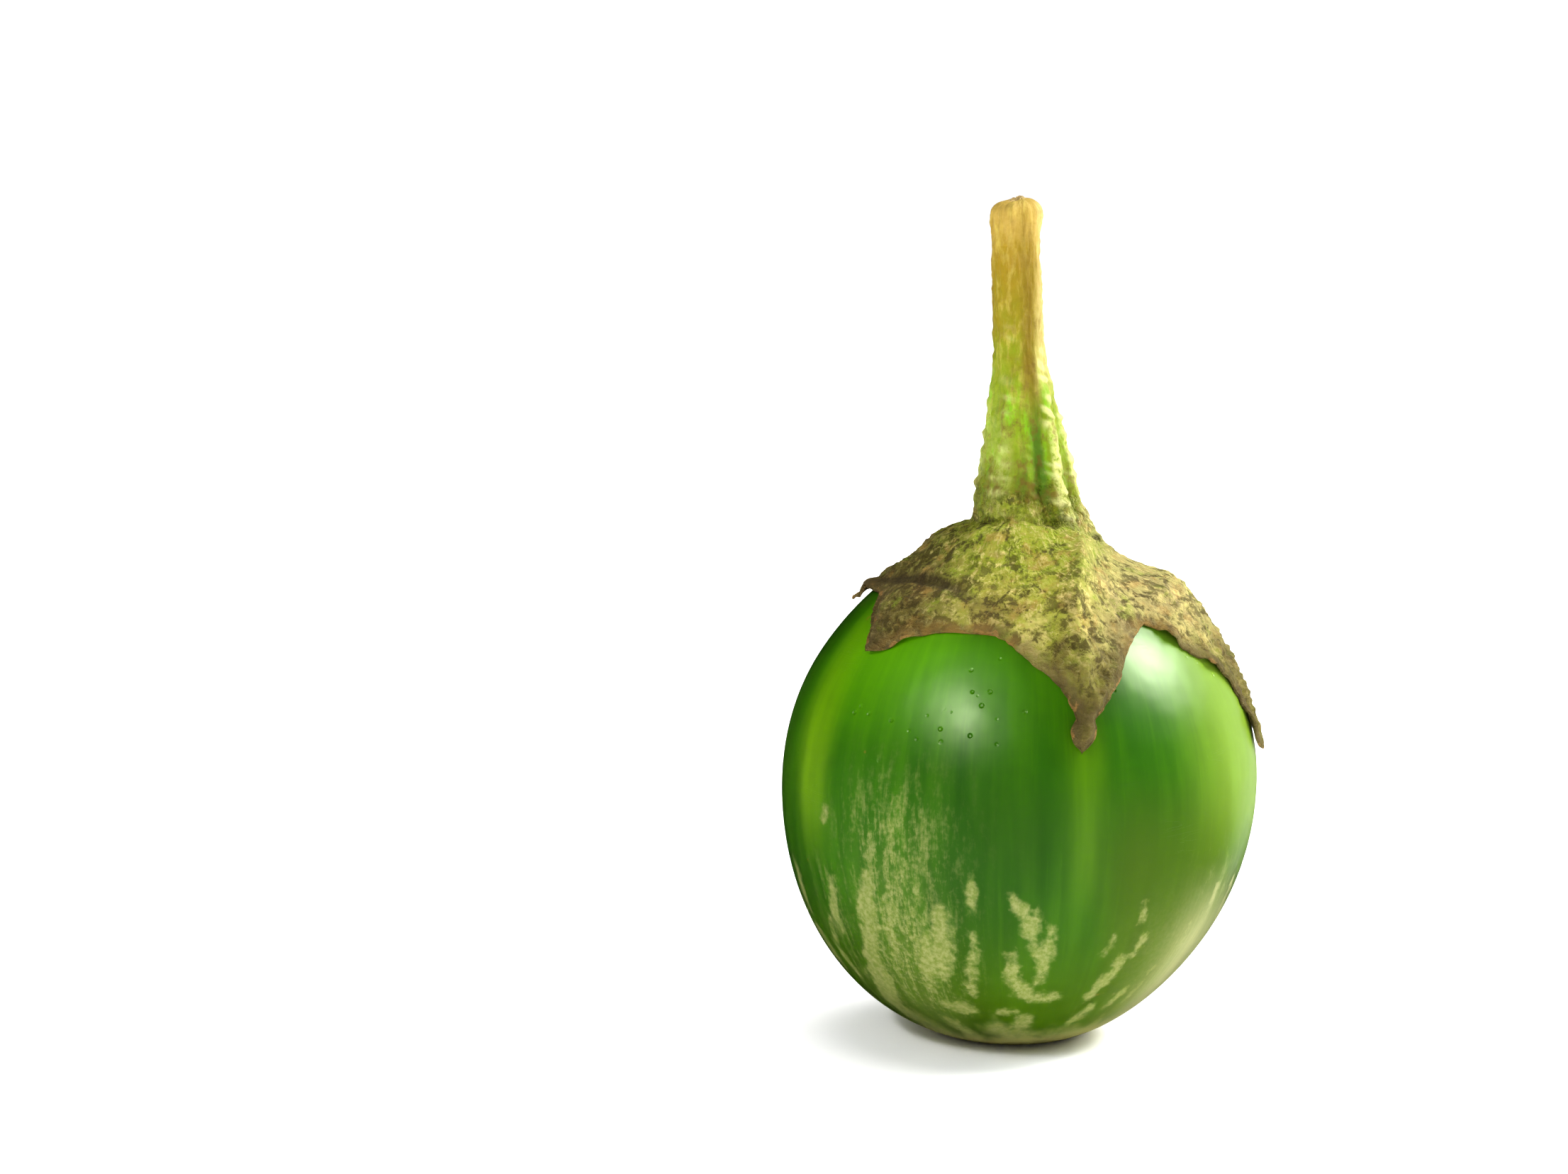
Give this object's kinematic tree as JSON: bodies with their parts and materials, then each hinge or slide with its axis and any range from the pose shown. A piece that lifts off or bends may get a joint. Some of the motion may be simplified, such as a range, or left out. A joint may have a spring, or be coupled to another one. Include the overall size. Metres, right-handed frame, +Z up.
{
  "type": "eggplant",
  "caption": "Small round green eggplant with its lobed calyx and stalk, standing on its blossom end: a fresh vegetable for food, market and kitchen scenes.",
  "frame": {"origin": "on the surface that the eggplant stands on, at the centre of the flat ring round its blossom end", "axes": "+Z up along the fruit's axis, from the blossom end to the stalk; -Y is the front, where the front lobe of the calyx hangs a little to the right; +X is the right, where the longest lobe hangs"},
  "size_m": [0.0505, 0.05, 0.0884],
  "materials": {
    "fruit_skin": "gloss",
    "calyx": "matte",
    "stalk": "matte"
  },
  "bodies": {
    "root": {"fruit": "fruit_skin", "calyx": "calyx", "stalk": "stalk"}
  },
  "joints": []
}
